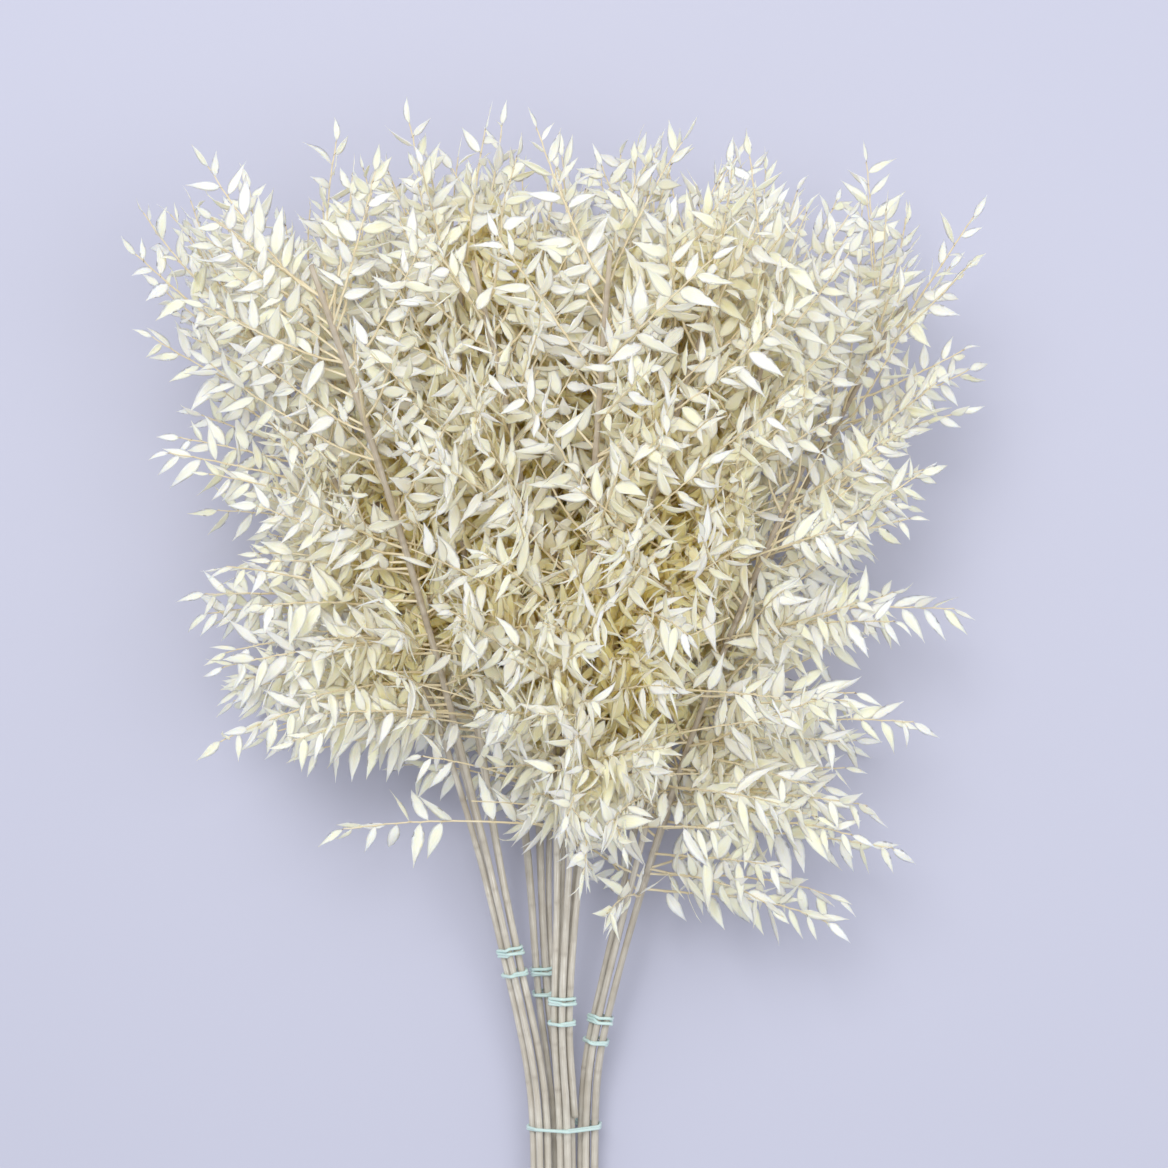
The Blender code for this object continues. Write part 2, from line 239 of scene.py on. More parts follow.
def calculate(tree, operation, *values, clamp=False):
    """The result of a Math node."""
    return add(tree, "Math", enumerate(values), operation=operation, use_clamp=clamp).outputs[0]


def blend_colours(tree, share, low, high):
    """low where share is 0 and high where it is 1."""
    return add(tree, "Mix", {0: share, 6: low, 7: high}, data_type="RGBA").outputs[2]


def attribute(tree, name):
    """A node that reads one of the mesh's own attributes."""
    return add(tree, "Attribute", attribute_name=name, attribute_type="GEOMETRY")


# %% Cloudy tone and fibres
def build_cloud_group():
    """Soft patches of light and dark."""
    group, given, out = new_group(
        "cloudy_tone",
        {"Place": ("Vector", None), "Size": ("Float", 0.02), "Contrast": ("Float", 2.0)},
        {"Mask": "Float"},
    )
    scale = calculate(group, "DIVIDE", 1.0, given.outputs["Size"])
    clouds = add(
        group,
        "TexNoise",
        {"Vector": given.outputs["Place"], "Scale": scale, "Detail": 3.0, "Roughness": 0.55},
    )
    centred = calculate(group, "SUBTRACT", clouds.outputs[0], 0.5)
    spread = calculate(group, "MULTIPLY_ADD", centred, given.outputs["Contrast"], 0.5, clamp=True)
    group.links.new(spread, out.inputs["Mask"])
    return group


def build_fibre_group():
    """Thin lines along a tube, from noise that is drawn out along its grain."""
    group, given, out = new_group(
        "long_fibres",
        {"Grain": ("Vector", None), "Width": ("Float", 0.0006), "Stretch": ("Float", 40.0)},
        {"Mask": "Float"},
    )
    parts = add(group, "SeparateXYZ", {0: given.outputs["Grain"]})
    along = calculate(group, "DIVIDE", parts.outputs[2], given.outputs["Stretch"])
    place = add(group, "CombineXYZ", {0: parts.outputs[0], 1: parts.outputs[1], 2: along})
    scale = calculate(group, "DIVIDE", 1.0, given.outputs["Width"])
    fibres = add(
        group,
        "TexNoise",
        {"Vector": place.outputs[0], "Scale": scale, "Detail": 2.0, "Roughness": 0.6},
    )
    centred = calculate(group, "SUBTRACT", fibres.outputs[0], 0.5)
    spread = calculate(group, "MULTIPLY_ADD", centred, 2.4, 0.5, clamp=True)
    group.links.new(spread, out.inputs["Mask"])
    return group


cloud_group = build_cloud_group()
fibre_group = build_fibre_group()


def use_group(tree, group, **values):
    """The mask of a shared group, placed in this material with its own values."""
    return add(tree, "Group", values, node_tree=group).outputs["Mask"]


def new_material(name):
    """A material, its node tree and its Principled shader."""
    made = bpy.data.materials.new(name)
    made.use_nodes = True
    tree = made.node_tree
    return made, tree, tree.nodes["Principled BSDF"]


print("shared groups:", [group.name for group in bpy.data.node_groups])

# %% [markdown]
# ## The leaf material
#
# A bleached leaf is thin enough to glow when light comes from behind. A Translucent shader could do
# that, but every leaf here is a closed shell, and subsurface light is made for closed shells: it goes
# in on one side, scatters a little further than the leaf is thick, and leaves on either side.
#
# The colour isn't one ivory: leaves on the outside stay almost white, leaves shut in between others get a
# painted shade of gold that stands in for light bounced between pale leaves, and every leaf differs a
# little. Parallel veins run from the base to the tip.
# They follow the attribute `blade`, whose x runs across the leaf from -1 to 1 and whose y runs along
# it from 0 to 1.

# %% Leaf material
IVORY = (0.94, 0.93, 0.86, 1)
CREAM = (0.945, 0.90, 0.655, 1)
# This straw gold colours the veins, and it is also the painted shade of leaves shut in between others.
STRAW_AND_SHADE = (0.92, 0.745, 0.25, 1)
DRY_BROWN = (0.42, 0.27, 0.12, 1)
VEINS_ACROSS = 9


def leaf_material():
    made, tree, surface = new_material("bleached_leaf")
    blade = add(tree, "SeparateXYZ", {0: attribute(tree, "blade").outputs["Vector"]})
    across, along = blade.outputs[0], blade.outputs[1]
    tone = attribute(tree, "tone").outputs["Fac"]
    painted_shade = attribute(tree, "painted_shade").outputs["Fac"]
    place = add(tree, "TexCoord").outputs["Object"]

    clouds = use_group(tree, cloud_group, Place=place, Size=0.006, Contrast=2.2)
    fine = use_group(tree, cloud_group, Place=place, Size=0.0009, Contrast=2.0)
    wave = calculate(tree, "SINE", calculate(tree, "MULTIPLY", across, math.pi * VEINS_ACROSS))
    wobble = calculate(tree, "MULTIPLY_ADD", fine, 0.5, calculate(tree, "MULTIPLY", wave, 0.5))
    midrib = calculate(tree, "SUBTRACT", 1.0, calculate(tree, "ABSOLUTE", across))
    midrib = calculate(tree, "POWER", midrib, 14.0)

    colour = blend_colours(tree, tone, IVORY, CREAM)
    # Painted shade: the more shut in a leaf is, the more gold it is painted, for light bounced between pale
    # leaves. The clouds add a real patchy tone.
    gold_tone_and_shade = calculate(tree, "MULTIPLY_ADD", clouds, 0.30, calculate(tree, "MULTIPLY", painted_shade, 1.15))
    gold_tone_and_shade = calculate(tree, "SUBTRACT", gold_tone_and_shade, 0.12, clamp=True)
    colour = blend_colours(tree, gold_tone_and_shade, colour, STRAW_AND_SHADE)
    veins = calculate(tree, "MULTIPLY", wobble, 0.16, clamp=True)
    colour = blend_colours(tree, veins, colour, STRAW_AND_SHADE)
    colour = blend_colours(tree, calculate(tree, "MULTIPLY", midrib, 0.25), colour, CREAM)

    at_base = add(tree, "MapRange", {0: along, 1: 0.09, 2: 0.0, 3: 0.0, 4: 1.0}).outputs[0]
    at_tip = add(tree, "MapRange", {0: along, 1: 0.90, 2: 1.0, 3: 0.0, 4: 1.0}).outputs[0]
    tired = calculate(tree, "GREATER_THAN", tone, 0.6)
    spent = calculate(tree, "MULTIPLY_ADD", at_tip, calculate(tree, "MULTIPLY", tired, 0.5), at_base)
    colour = blend_colours(tree, calculate(tree, "MULTIPLY", spent, 0.65), colour, DRY_BROWN)
    tree.links.new(colour, surface.inputs["Base Color"])

    rough = add(tree, "MapRange", {0: clouds, 1: 0.0, 2: 1.0, 3: 0.42, 4: 0.62}).outputs[0]
    tree.links.new(rough, surface.inputs["Roughness"])
    height = calculate(tree, "MULTIPLY_ADD", midrib, 1.5, wobble)
    bump = add(tree, "Bump", {"Strength": 0.55, "Distance": 0.00012, "Height": height})
    tree.links.new(bump.outputs[0], surface.inputs["Normal"])

    surface.inputs["Subsurface Weight"].default_value = 1.0
    surface.inputs["Subsurface Radius"].default_value = (1.0, 0.85, 0.6)
    surface.inputs["Subsurface Scale"].default_value = 0.0008
    return made


leaf_skin = leaf_material()

# %% [markdown]
# ## Cane and twig materials
#
# A bleached cane is greyish beige low down and warmer near the top, with fine fibres along it, darker
# rings where leaves once grew, and pale pith where it was cut. Twigs are the same plant but more
# golden, with dark specks of old scale leaves. Both read `grain` for their fibres. `age` marks what is
# dark or dried up, `height` how far up the plant a point lies, and `cut` the cut faces.

# %% Cane and twig materials
CANE_LOW = (0.44, 0.41, 0.34, 1)
CANE_HIGH = (0.40, 0.33, 0.24, 1)
CANE_PALE = (0.87, 0.84, 0.74, 1)
PITH = (0.82, 0.76, 0.60, 1)
TWIG_GOLD = (0.74, 0.61, 0.34, 1)
TWIG_PALE = (0.88, 0.81, 0.60, 1)
SPECK = (0.085, 0.045, 0.022, 1)


def woody_material(name, low, high, pale, fibre_width, bump_depth):
    made, tree, surface = new_material(name)
    grain = attribute(tree, "grain").outputs["Vector"]
    height = attribute(tree, "height").outputs["Fac"]
    age = attribute(tree, "age").outputs["Fac"]
    cut = attribute(tree, "cut").outputs["Fac"]
    place = add(tree, "TexCoord").outputs["Object"]

    fibres = use_group(tree, fibre_group, Grain=grain, Width=fibre_width, Stretch=30.0)
    clouds = use_group(tree, cloud_group, Place=place, Size=0.018, Contrast=2.6)
    fine = use_group(tree, cloud_group, Place=place, Size=0.0012, Contrast=1.8)

    colour = blend_colours(tree, height, low, high)
    most_pale = calculate(tree, "MULTIPLY_ADD", height, -0.5, 1.0)
    paler = calculate(tree, "MULTIPLY", calculate(tree, "MULTIPLY", fibres, clouds), most_pale)
    colour = blend_colours(tree, paler, colour, pale)
    darker = calculate(tree, "MULTIPLY", calculate(tree, "SUBTRACT", 1.0, fibres), 0.22)
    colour = blend_colours(tree, darker, colour, DRY_BROWN)
    colour = blend_colours(tree, age, colour, SPECK)
    colour = blend_colours(tree, cut, colour, PITH)
    tree.links.new(colour, surface.inputs["Base Color"])

    rough = add(tree, "MapRange", {0: fine, 1: 0.0, 2: 1.0, 3: 0.42, 4: 0.66}).outputs[0]
    tree.links.new(rough, surface.inputs["Roughness"])
    relief = calculate(tree, "MULTIPLY_ADD", fine, 0.35, fibres)
    bump = add(tree, "Bump", {"Strength": 0.6, "Distance": bump_depth, "Height": relief})
    tree.links.new(bump.outputs[0], surface.inputs["Normal"])
    return made


cane_skin = woody_material("bleached_cane", CANE_LOW, CANE_HIGH, CANE_PALE, 0.0007, 0.00025)
twig_skin = woody_material("bleached_twig", TWIG_GOLD, TWIG_GOLD, TWIG_PALE, 0.0004, 0.00015)

# %% [markdown]
# ## The elastic bands' material
#
# The bands are pale mint elastic, a little waxy, and see-through enough to glow in their depth, so
# they get some subsurface light. Fine lines run along each strand.

# %% Band material
MINT = (0.60, 0.79, 0.77, 1)
MINT_DEEP = (0.38, 0.60, 0.56, 1)


def band_material():
    made, tree, surface = new_material("mint_elastic")
    grain = attribute(tree, "grain").outputs["Vector"]
    place = add(tree, "TexCoord").outputs["Object"]
    lines = use_group(tree, fibre_group, Grain=grain, Width=0.0003, Stretch=50.0)
    clouds = use_group(tree, cloud_group, Place=place, Size=0.004, Contrast=2.0)
    shade = calculate(tree, "MULTIPLY_ADD", lines, 0.35, calculate(tree, "MULTIPLY", clouds, 0.3))
    tree.links.new(blend_colours(tree, shade, MINT, MINT_DEEP), surface.inputs["Base Color"])
    rough = add(tree, "MapRange", {0: clouds, 1: 0.0, 2: 1.0, 3: 0.30, 4: 0.45}).outputs[0]
    tree.links.new(rough, surface.inputs["Roughness"])
    bump = add(tree, "Bump", {"Strength": 0.4, "Distance": 0.00012, "Height": lines})
    tree.links.new(bump.outputs[0], surface.inputs["Normal"])
    surface.inputs["Subsurface Weight"].default_value = 0.3
    surface.inputs["Subsurface Radius"].default_value = (0.6, 1.0, 0.9)
    surface.inputs["Subsurface Scale"].default_value = 0.0012
    return made


band_skin = band_material()

# %% [markdown]
# ## Reading the canes back from the frame
#
# Every cane runs more or less along Y, so its middle line comes from slicing its solid at many places
# along Y. The middle of each slice lies on the line. A little smoothing takes out the solid's corners.

# %% Find each cane's middle line
CANE_SLICES = 150
END_MARGIN = 0.0025  # no slice is nearer to an end than this
SMOOTHING_ROUNDS = 60


def mesh_of(node):
    """A frame node's points and its faces, with points in one place made one."""
    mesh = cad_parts[node].data
    points = np.empty(len(mesh.vertices) * 3)
    mesh.vertices.foreach_get("co", points)
    _, first, same = np.unique(
        np.round(points.reshape(-1, 3), 5), axis=0, return_index=True, return_inverse=True
    )
    same = same.ravel()
    faces = [[int(same[corner]) for corner in face.vertices] for face in mesh.polygons]
    return points.reshape(-1, 3)[first], faces


def middle_line(node):
    """The line down the middle of a cane, from its cut end to its tip, and its radius there."""
    points, faces = mesh_of(node)
    pairs = {tuple(sorted(pair)) for face in faces for pair in zip(face, face[1:] + face[:1])}
    starts, ends = points[[a for a, b in pairs]], points[[b for a, b in pairs]]
    low, high = points[:, 1].min(), points[:, 1].max()
    middles, widths = [], []
    for y in np.linspace(low + END_MARGIN, high - END_MARGIN, CANE_SLICES):
        crossed = (starts[:, 1] - y) * (ends[:, 1] - y) < 0
        a, b = starts[crossed], ends[crossed]
        cuts = a + (b - a) * ((y - a[:, 1]) / (b[:, 1] - a[:, 1]))[:, None]
        middles.append((cuts.min(axis=0) + cuts.max(axis=0)) / 2)
        widths.append(cuts[:, 2].max() - cuts[:, 2].min())
    line = np.array(middles)
    for _ in range(SMOOTHING_ROUNDS):
        line[1:-1] = 0.25 * line[:-2] + 0.5 * line[1:-1] + 0.25 * line[2:]
    line[0] += (line[0] - line[1]) * ((line[0, 1] - low) / (line[1, 1] - line[0, 1]))
    line[-1] += (line[-1] - line[-2]) * ((high - line[-1, 1]) / (line[-1, 1] - line[-2, 1]))
    return line, np.array(widths) / 2


canes = {node[-2:]: middle_line(node) for node in cane_nodes}
print("cane lengths in mm:", [round(1000 * length_of(line)) for line, _ in canes.values()])

# %% [markdown]
# ## Reading the side twigs back from the foliage solids
#
# In the frame, every leafy twig is one flat, three-cornered frond that ends in a single point. Walking
# from such a tip to its three neighbours, then to their three, gives the frond's rings, and the middle
# corner of each ring lies over the twig. So the leaves grown here fill the same space that the frame
# uses for collision.

# %% Find the fronds
TIP_CLEAR = 0.010  # a frond's tip is at least this far from its nearest neighbour
FROND_RINGS = 4  # read back from the tip


def neighbours_of(faces, count):
    """For each point, the points that share an edge with it."""
    near = [set() for _ in range(count)]
    for face in faces:
        for a, b in zip(face, face[1:] + face[:1]):
            near[a].add(b)
            near[b].add(a)
    return near


def middle_corner(ring, points):
    """Of a ring's three corners, the one between the other two, then those two."""
    spans = [sum(np.linalg.norm(points[a] - points[b]) for b in ring) for a in ring]
    middle = ring[int(np.argmin(spans))]
    return middle, [corner for corner in ring if corner != middle]


def fronds_of(node):
    """Each frond as (points along its twig from the root to the tip, the direction across it)."""
    points, faces = mesh_of(node)
    near = neighbours_of(faces, len(points))
    fronds = []
    for tip in range(len(points)):
        ring = sorted(near[tip])
        reach = min(np.linalg.norm(points[tip] - points[corner]) for corner in ring)
        if len(ring) != 3 or reach < TIP_CLEAR:
            continue
        line, across, seen = [points[tip]], None, {tip}
        while len(ring) == 3 and len(line) <= FROND_RINGS:
            middle, edges = middle_corner(ring, points)
            line.append(points[middle])
            if across is None or len(line) == FROND_RINGS:
                across = unit(points[edges[1]] - points[edges[0]])
            seen.update(ring)
            ring = sorted(set().union(*(near[corner] for corner in ring)) - seen)
        if len(line) >= FROND_RINGS:
            fronds.append((np.array(line[::-1]), across))
    return fronds


fronds = {node[-2:]: fronds_of(node) for node in foliage_nodes}
print("fronds found:", {name: len(found) for name, found in fronds.items()})

# %% [markdown]
# ## Twigs
#
# A twig leaves its cane at a swelling, arches to its frond's tip, and bends a little at every leaf,
# first to one side and then to the other. The frame has room for about eleven fronds on a cane. The
# real plant is denser, so six lighter twigs grow between each frond and the next, turned to fill the
# gap round the cane. Such a twig has the shape of one of its neighbours. If it would leave the frame's
# box, it is tried again at another turn, and shorter. Two canes show at the front of the bundle, so no
# lighter twig passes over them.

# %% Twig lines
TIP_LEAF = 0.020  # how far the last leaf reaches past the end of its twig
TWIG_STEP = 0.003  # between the points of a twig's line
CURVE_STEPS = 12  # between two of the points that a curve passes through
TWIGS_BETWEEN = 6  # between each frond and the next
TWIG_TRIES = 14  # before such a twig is given up
TWIG_SHORTEST = 0.55  # the last try, as a share of the neighbour's length
TWIG_SCATTER = (0.76, 1.05)  # of that length, as a factor
LEAST_TURN = 0.35  # away from the neighbour, round the cane, in radians
TWIG_MARGIN = 0.006  # between a twig and the sides of the frame's box


def curve_through(points, count):
    """A smooth line through the points, with count points spaced evenly by length."""
    ends = np.vstack([2 * points[0] - points[1], points, 2 * points[-1] - points[-2]])
    pieces = []
    for a, b, c, d in zip(ends, ends[1:], ends[2:], ends[3:]):
        t = np.linspace(0, 1, CURVE_STEPS, endpoint=False)[:, None]
        pieces.append(
            0.5 * (2 * b + (c - a) * t + (2 * a - 5 * b + 4 * c - d) * t**2 + (3 * b - a - 3 * c + d) * t**3)
        )
    return evenly(np.vstack([*pieces, points[-1:]]), count)


def evenly(line, count):
    """The same line with count points, spaced evenly by length."""
    lengths = places_along(line)
    places = np.linspace(0, lengths[-1], count)
    return np.stack([np.interp(places, lengths, line[:, axis]) for axis in range(3)], axis=1)


def twig_from_frond(frond, cane_line):
    """The twig's line from inside its cane to its tip, and the direction across its leaves."""
    points, across = frond
    root = points[0] - (points[1] - points[0]) * 0.8
    on_cane = cane_line[np.argmin(np.linalg.norm(cane_line - root, axis=1))]
    ahead = unit(points[-1] - points[-2])
    tip = points[-1] - ahead * TIP_LEAF
    line = np.vstack([on_cane, points[:-1], tip])
    return curve_through(line, max(int(length_of(line) / TWIG_STEP), 12)), across


def turned(vectors, axis, angle):
    """Vectors turned about an axis by an angle in radians."""
    across = np.cross(axis, vectors)
    return (
        vectors * math.cos(angle)
        + across * math.sin(angle)
        + axis * (vectors @ axis)[..., None] * (1 - math.cos(angle))
    )


def inside_box(points, margin):
    """Whether all these points lie inside the frame's box, less the margin on every side."""
    low, high = np.array(cad_box[0]) + margin, np.array(cad_box[1]) - margin
    return bool(np.all((points > low) & (points < high)))


def twig_between(one, other, share, cane_line, rng):
    """A lighter twig that leaves the cane between two others, turned round the cane, or None."""
    line, across = one if rng.random() < 0.5 else other
    start = one[0][0] + (other[0][0] - one[0][0]) * share
    k = np.argmin(np.linalg.norm(cane_line - start, axis=1))
    axis = unit(cane_line[min(k + 4, len(cane_line) - 1)] - cane_line[max(k - 4, 0)])
    for shorter in np.linspace(1.0, TWIG_SHORTEST, TWIG_TRIES):
        angle = rng.uniform(LEAST_TURN, 2 * math.pi - LEAST_TURN)
        shape = turned((line - line[0]) * (shorter * rng.uniform(*TWIG_SCATTER)), axis, angle)
        if inside_box(cane_line[k] + shape, TWIG_MARGIN):
            return cane_line[k] + shape, turned(across, axis, angle)
    return None


# %% Keep two canes in view, and grow every twig
FRONT_CANES = ("a1", "d1")
SHOWN_HALF_WIDTH = 0.0080  # of the strip above such a cane
SHOWN_ABOVE = 0.0055  # what lies lower than this over its middle line may stay


def in_front(points):
    """Whether each point lies over a front cane, seen from above."""
    over = np.zeros(points.shape[:-1], dtype=bool)
    for name in FRONT_CANES:
        for place in canes[name][0][::2]:
            away = np.linalg.norm(points[..., :2] - place[:2], axis=-1)
            over |= (away < SHOWN_HALF_WIDTH) & (points[..., 2] > place[2] + SHOWN_ABOVE)
    return over


rng = np.random.default_rng(5)
twigs = {}
for name, (cane_line, _) in canes.items():
    grown = [twig_from_frond(frond, cane_line) for frond in fronds[name]]
    grown.sort(key=lambda twig: twig[0][0][1])
    between = [
        twig_between(a, b, (k + 0.5) / TWIGS_BETWEEN, cane_line, rng)
        for a, b in zip(grown, grown[1:])
        for k in range(TWIGS_BETWEEN)
    ]
    twigs[name] = grown + [twig for twig in between if twig and not in_front(twig[0]).any()]
print("twigs:", sum(len(some) for some in twigs.values()))

# %% [markdown]
# ## Keeping things on the table
#
# The bundle lies down, so its lowest leaves press against the table. Every point near the table is
# squeezed gently towards it, never through it. The squeeze keeps the order of heights, so a leaf's top
# stays above its underside.

# %% Press onto the table
TABLE_GAP = 0.0004
PRESS_HEIGHT = 0.006  # what is lower than this is squeezed


def pressed(points):
    """Points with their low ones squeezed down to just above the table."""
    points = points.copy()
    height = points[..., 2]
    room = PRESS_HEIGHT - TABLE_GAP
    squeezed = TABLE_GAP + room * np.exp(np.minimum(height - PRESS_HEIGHT, 0) / room)
    points[..., 2] = np.where(height < PRESS_HEIGHT, squeezed, height)
    return points


# %% [markdown]
# ## Where every leaf grows
#
# Leaves sit alternately left and right, about 7 mm apart, wide open on the twig and more forward near
# its tip, where one last leaf points straight on. They droop a little towards the cut ends, more on the
# long low twigs than at the top. Most leaves that would cover one of the two front canes are left out.

# %% Place the leaves
LEAF_SPACING = 0.0068
FIRST_LEAF = 0.012  # from the root of its twig
LEAF_LENGTH = 0.0290
LEAF_WIDTH = 0.0082
LEAF_ANGLES = (44, 80)  # between a leaf and its twig, in degrees
LEAF_SAG = 0.55
LEAF_ROLL = 0.45  # how far the leaves of a twig turn out of its plane, in radians
LEAF_TILT = 0.55  # how far they turn about their own length
LEAF_TESTS = np.array([0.0, 0.25, 0.5, 0.75, 1.0])  # places along a leaf
STRAY_LEAVES = 0.08  # the share of the leaves over a front cane that stay


def at_shares(rows, shares):
    """Rows of x, y, z, blended at these shares of the way through them."""
    places = shares * (len(rows) - 1)
    return np.stack([np.interp(places, np.arange(len(rows)), rows[:, axis]) for axis in range(3)], axis=1)


def leaves_on(twig, rng):
    """One row for each leaf: its base, direction, face, length and width."""
    line, across = twig
    total = length_of(line)
    count = max(int((total - FIRST_LEAF) / LEAF_SPACING), 4)
    shares = np.linspace(FIRST_LEAF / total + 0.04, 1.0, count) + rng.normal(0, 0.004, count)
    shares = np.clip(shares, 0, 1)
    bases = at_shares(line, shares)
    along = unit(at_shares(unit(np.gradient(line, axis=0)), shares))

    sides = np.where(np.arange(count) % 2, 1.0, -1.0)[:, None]
    side = square_to(np.broadcast_to(across, along.shape), along)
    face = np.cross(side, along)
    roll = rng.normal(0, LEAF_ROLL, count)[:, None]
    outward = sides * side * np.cos(roll) + face * np.sin(roll)
    spread = np.radians(rng.uniform(*LEAF_ANGLES, count) * (1 - 0.35 * shares**3))[:, None]
    spread[-1] = 0.06
    sag = LEAF_SAG * smooth_step(shares, 0.0, 0.7)[:, None] * rng.uniform(0.2, 1.2, (count, 1))
    low_down = 1 - smooth_step(line[0, 1], -0.05, 0.22)
    heading = along * np.cos(spread) + outward * np.sin(spread)
    heading = unit(heading - Y_AXIS * sag * (0.25 + low_down))

    upward = np.where(face @ Z_AXIS < 0, -1.0, 1.0)[:, None] * face
    tilt = rng.normal(0, LEAF_TILT, (count, 1))
    looks = square_to(upward * np.cos(tilt) + np.cross(heading, upward) * np.sin(tilt), heading)
    size = np.sin(math.pi * np.clip(0.22 + 0.62 * shares, 0, 1)) ** 0.7 * rng.uniform(0.78, 1.16, count)
    lengths = LEAF_LENGTH * size * np.clip(total / 0.11, 0.75, 1.05)
    widths = LEAF_WIDTH * size * rng.uniform(0.82, 1.18, count)
    return np.column_stack([bases, heading, looks, lengths, widths])


def off_front_canes(rows, rng):
    """These leaves without most of those that lie over a front cane."""
    reach = rows[:, None, :3] + rows[:, None, 3:6] * rows[:, 9, None, None] * LEAF_TESTS[:, None]
    return rows[~in_front(reach).any(axis=1) | (rng.random(len(rows)) < STRAY_LEAVES)]


rng = np.random.default_rng(8)
leaf_rows, twig_leaves = {}, {}
for name, grown in twigs.items():
    leafy = [(twig, off_front_canes(leaves_on(twig, rng), rng)) for twig in grown]
    leafy = [(twig, rows) for twig, rows in leafy if len(rows)]
    twigs[name] = [twig for twig, _ in leafy]
    twig_leaves[name] = [rows for _, rows in leafy]
    leaf_rows[name] = np.vstack(twig_leaves[name])
print("leaves:", sum(len(rows) for rows in leaf_rows.values()))

# %% [markdown]
# ## How shut in each leaf is
#
# Counting a leaf's neighbours within a few centimetres tells how shut in it is: many on all sides deep
# inside, few at the edge. Shut-in leaves are painted gold, as painted shade for light that reaches them
# only after bouncing between pale leaves.

# %% Count neighbours
NEAR = 0.034
IN_THE_OPEN, SHUT_IN = 18, 93  # the percentiles of the count where a leaf starts and ends to darken
every_leaf = np.vstack(list(leaf_rows.values()))
centres = every_leaf[:, :3] + every_leaf[:, 3:6] * every_leaf[:, 9:10] / 2
tree = kdtree.KDTree(len(centres))
for number, centre in enumerate(centres):
    tree.insert(centre, number)
tree.balance()
crowd = np.array([len(tree.find_range(centre, NEAR)) for centre in centres])
# How much painted gold shade each leaf gets, from its neighbour count.
shut_in = smooth_step(crowd, np.percentile(crowd, IN_THE_OPEN), np.percentile(crowd, SHUT_IN))
print("neighbours of a leaf: least", crowd.min(), "middle", int(np.median(crowd)), "most", crowd.max())

# %% [markdown]
# ## The shape of one leaf
#
# A leaf is a thin closed shell. Nine cross-sections run from its stalk to its drawn-out tip. Each
# has five points across the top, with the edges shared, and three underneath. Every leaf gets its own
# bend, twist, fold and wavy edge, because dried leaves all curl differently. All leaves of a cane are
# worked out together, as arrays of (leaf, cross-section, point across).

# %% Build leaves
LEAF_STATIONS = np.array([0.0, 0.05, 0.12, 0.23, 0.38, 0.55, 0.73, 0.88, 1.0])
ACROSS = np.array([-1.0, -0.5, 0.0, 0.5, 1.0, 0.5, 0.0, -0.5])
TOP_OR_BOTTOM = np.array([0, 1, 1, 1, 0, -1, -1, -1])
LEAF_THICKNESS = 0.00032
STALK_HALF_WIDTH = 0.00035

# How leaves differ from each other: (spread, middle). Bends and twists are in radians at the tip. The
# fold and the wave lift the edges, as shares of half the leaf's width.
LEAF_BEND = (0.42, -0.12)
LEAF_SIDEWAYS = (0.16, 0.0)
LEAF_TWIST = (0.45, 0.0)
LEAF_FOLD = (0.16, 0.22)
LEAF_WAVE = (0.07, 0.11)


def leaf_outline(t):
    """Half the leaf's width along it, as a share of its widest."""
    outline = t**0.85 * (1 - t) ** 1.40
    return outline / outline.max() * smooth_step(t, 0.01, 0.16)


def build_leaves(rows, painted_shade, rng):
    """The points, faces and attributes of these leaves, pressed onto the table."""
    count, t = len(rows), LEAF_STATIONS
    base, heading, looks = rows[:, :3], rows[:, 3:6], rows[:, 6:9]
    length, width = rows[:, 9], rows[:, 10]
    side = np.cross(heading, looks)

    def each(spread, middle):
        return rng.normal(middle, spread, count)[:, None]

    bend, sideways, twist = each(*LEAF_BEND) * t, each(*LEAF_SIDEWAYS) * t, each(*LEAF_TWIST) * t
    ahead = (
        np.cos(bend)[..., None] * heading[:, None]
        + np.sin(bend)[..., None] * looks[:, None]
        + np.sin(sideways)[..., None] * side[:, None]
    )
    steps = np.diff(t)[None, :, None] * length[:, None, None]
    middles = (ahead[:, 1:] + ahead[:, :-1]) / 2 * steps
    centre = base[:, None] + np.concatenate([np.zeros((count, 1, 3)), np.cumsum(middles, axis=1)], axis=1)
    normal = np.cos(bend)[..., None] * looks[:, None] - np.sin(bend)[..., None] * heading[:, None]
    side = np.broadcast_to(side[:, None], normal.shape)
    turned_side = np.cos(twist)[..., None] * side + np.sin(twist)[..., None] * normal
    turned_normal = np.cos(twist)[..., None] * normal - np.sin(twist)[..., None] * side

    half = np.maximum(width[:, None] / 2 * leaf_outline(t)[None], STALK_HALF_WIDTH * (1 - 0.75 * t))
    fold = each(*LEAF_FOLD)
    wave_phase, wave_size = rng.uniform(0, 6.28, (count, 2)), each(*LEAF_WAVE)
    s = ACROSS[None, None]
    waves = np.where(
        s < 0,
        np.sin(9.5 * t + wave_phase[:, :1])[..., None],
        np.sin(8.5 * t + wave_phase[:, 1:])[..., None],
    )
    lift = half[..., None] * (fold[..., None] * np.abs(s) ** 1.4 + wave_size[..., None] * waves * s * s)
    slim = LEAF_THICKNESS / 2 * (0.35 + 0.65 * leaf_outline(t))[None, :, None]
    lift = lift + slim * TOP_OR_BOTTOM[None, None] * (1 - 0.45 * s * s)
    points = (
        centre[:, :, None]
        + turned_side[:, :, None] * (half[..., None] * s)[..., None]
        + turned_normal[:, :, None] * lift[..., None]
    )

    one = tube_faces(len(t), len(ACROSS), False)
    size = len(t) * len(ACROSS)
    faces = [[corner + k * size for corner in face] for k in range(count) for face in one]
    blade = np.stack(np.broadcast_arrays(s, t[None, :, None], rng.random(count)[:, None, None]), axis=-1)
    attributes = {
        "blade": blade.reshape(-1, 3),
        "tone": np.repeat(rng.random(count), size),
        "painted_shade": np.repeat(painted_shade, size),
    }
    return pressed(points.reshape(-1, 3)), faces, attributes


